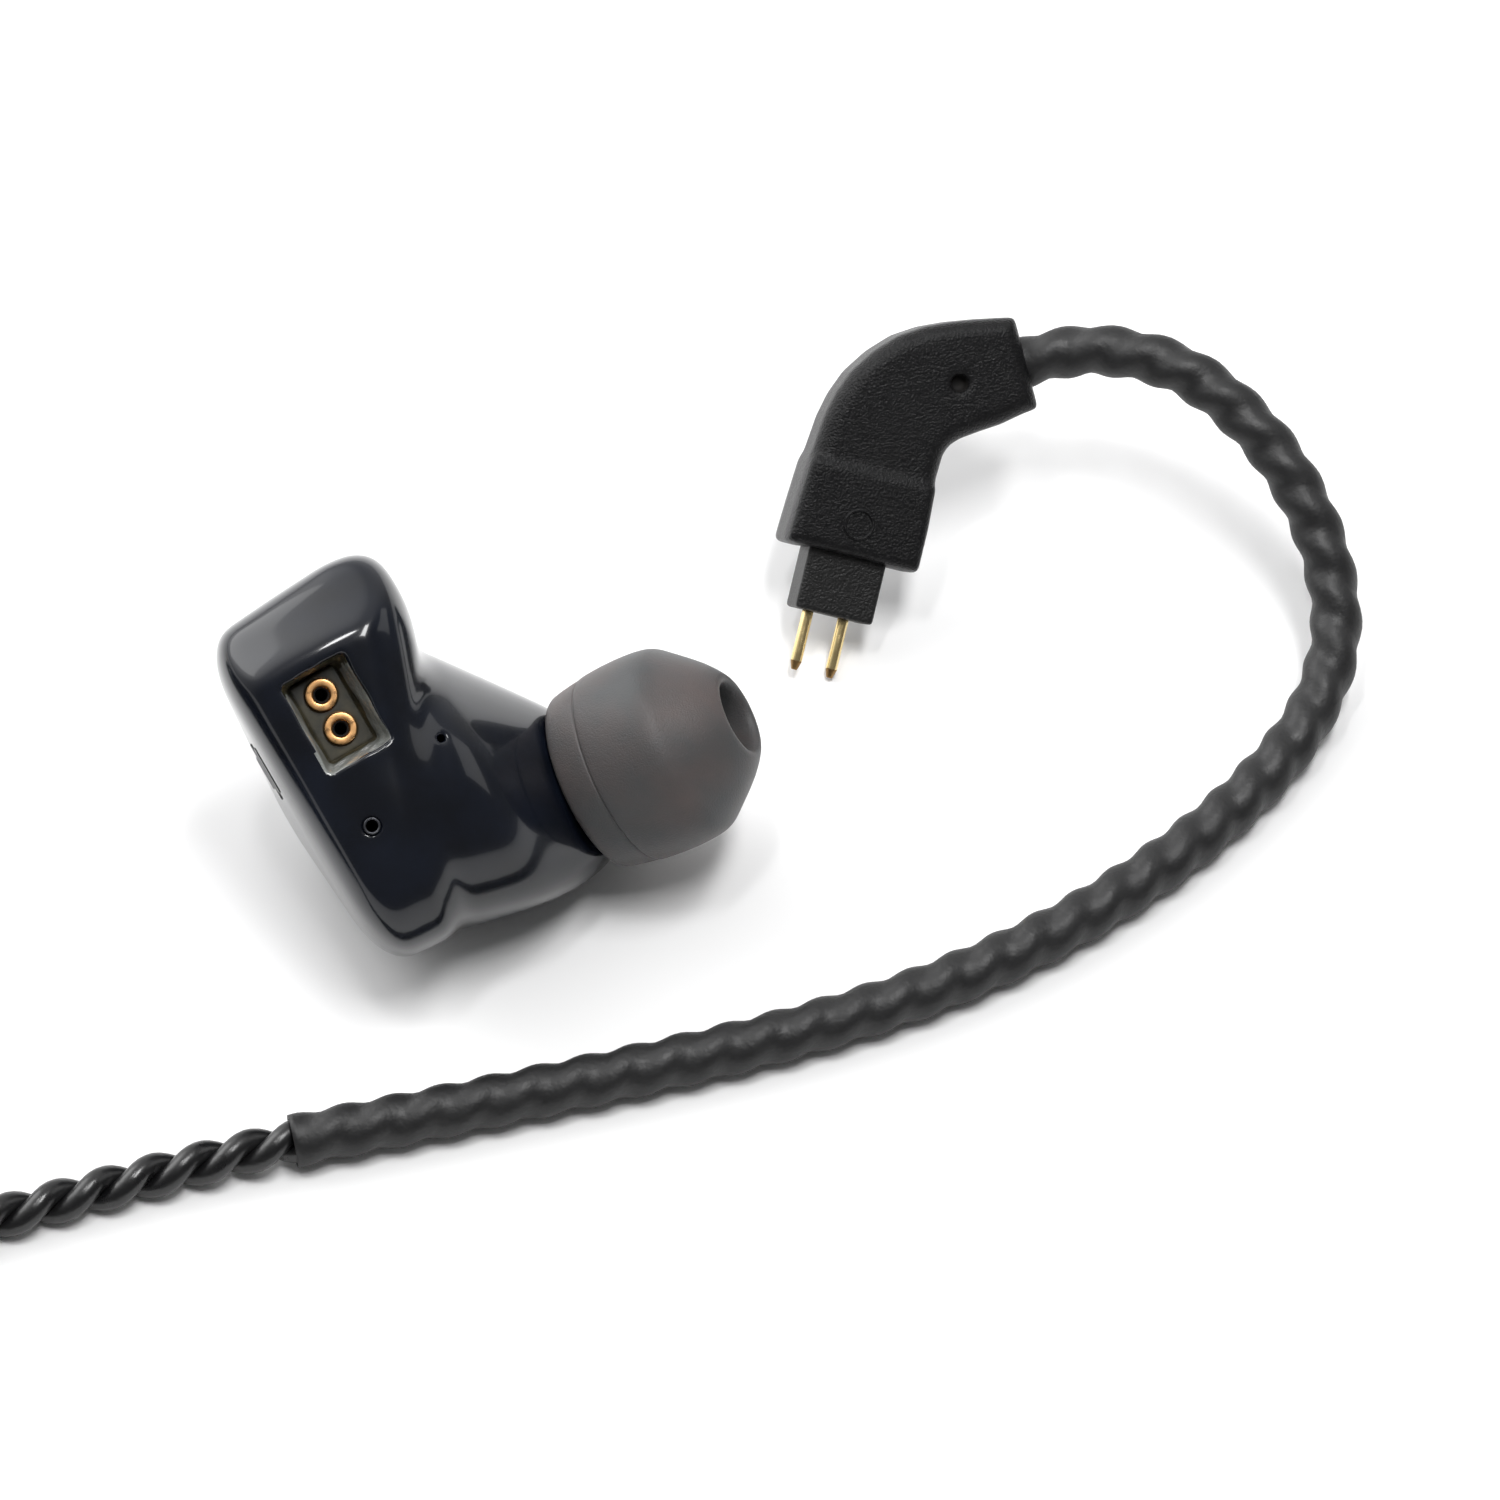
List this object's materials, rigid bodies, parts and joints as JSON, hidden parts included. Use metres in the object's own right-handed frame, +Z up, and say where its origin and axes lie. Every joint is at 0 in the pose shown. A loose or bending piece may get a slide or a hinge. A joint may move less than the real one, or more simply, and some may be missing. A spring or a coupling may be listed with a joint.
{
  "type": "in-ear monitor",
  "caption": "Custom-style in-ear stage monitor with a soft ear tip, a recessed two-pin socket and a detachable twisted cable with ear hooks, slider, splitter and audio plug.",
  "frame": {"origin": "on the table under the middle of the resting earpiece, measured without the cable", "axes": "+Z up from the table; +X along the earpiece's longest side, from the faceplate towards the ear tip; the free cable lies around it in X and Y"},
  "size_m": [0.1721, 0.0866, 0.0239],
  "materials": {
    "shell_resin": "polished, dark blue-black resin with a clear outer coat",
    "faceplate_resin": "polished",
    "mark_black": "printed under clear coat",
    "tip_silicone": "soft matte, slightly translucent grey",
    "screen_steel": "fine woven mesh",
    "vent_metal": "bright",
    "socket_resin": "dark olive",
    "contact_gold": "gold plated",
    "board_green": "solder mask",
    "part_ceramic": "ceramic and metal ends",
    "driver_steel": "drawn steel can",
    "magnet_metal": "nickel plated",
    "coil_copper": "enamelled copper",
    "diaphragm_film": "thin film",
    "tube_clear": "clear soft tube",
    "damper_green": "mesh plug",
    "lead_enamel": "enamelled wire",
    "housing_black": "fine-grained satin black",
    "insert_black": "fine-grained black",
    "pin_gold": "gold plated",
    "hook_sleeve": "satin",
    "cable_jacket": "glossy twisted strands",
    "fitting_black": "gloss",
    "tie_black": "matte strap",
    "barrel_black": "black anodised, satin",
    "jack_gold": "gold plated"
  },
  "bodies": {
    "monitor": {"shell": "shell_resin", "faceplate": "faceplate_resin", "faceplate_mark": "mark_black", "nozzle": "shell_resin", "nozzle_screen": "screen_steel", "vent_ring": "vent_metal", "socket_block": "socket_resin", "contact_sleeves": "contact_gold", "crossover_board": "board_green", "crossover_parts": "part_ceramic", "low_driver_frame": "driver_steel", "low_driver_magnet": "magnet_metal", "low_driver_coil": "coil_copper", "low_driver_diaphragm": "diaphragm_film", "mid_driver": "driver_steel", "high_driver": "driver_steel", "low_tube": "tube_clear", "mid_high_tube": "tube_clear", "acoustic_dampers": "damper_green", "socket_leads": "lead_enamel", "driver_leads": "lead_enamel", "plug_housing_right": "housing_black", "plug_insert_right": "insert_black", "plug_pins_right": "pin_gold", "plug_marker_right": "housing_black", "ear_hook_right": "hook_sleeve", "cable_right": "cable_jacket", "y_split": "fitting_black", "cable_left": "cable_jacket", "ear_hook_left": "hook_sleeve", "plug_housing_left": "housing_black", "plug_insert_left": "insert_black", "plug_pins_left": "pin_gold", "plug_marker_left": "housing_black", "main_coil": "cable_jacket", "main_leads": "cable_jacket", "coil_tie": "tie_black", "jack_strain_relief": "housing_black", "jack_barrel": "barrel_black", "jack_sleeve": "jack_gold", "jack_ring": "jack_gold", "jack_tip": "jack_gold", "jack_insulators": "insert_black"},
    "ear_tip": {"ear_tip": "tip_silicone"},
    "chin_slider": {"chin_slider": "fitting_black"}
  },
  "joints": [
    {"name": "ear_tip_pull", "type": "slide", "parent": "monitor", "child": "ear_tip", "axis": [0.8667, 0.1388, 0.4792], "range_m": [0, 0.005]},
    {"name": "chin_slider_travel", "type": "hinge", "parent": "monitor", "child": "chin_slider", "pos_m": [-0.0735, -0.0095, 0.002], "axis": [0, 0, 1], "range_deg": [0, 40]}
  ]
}
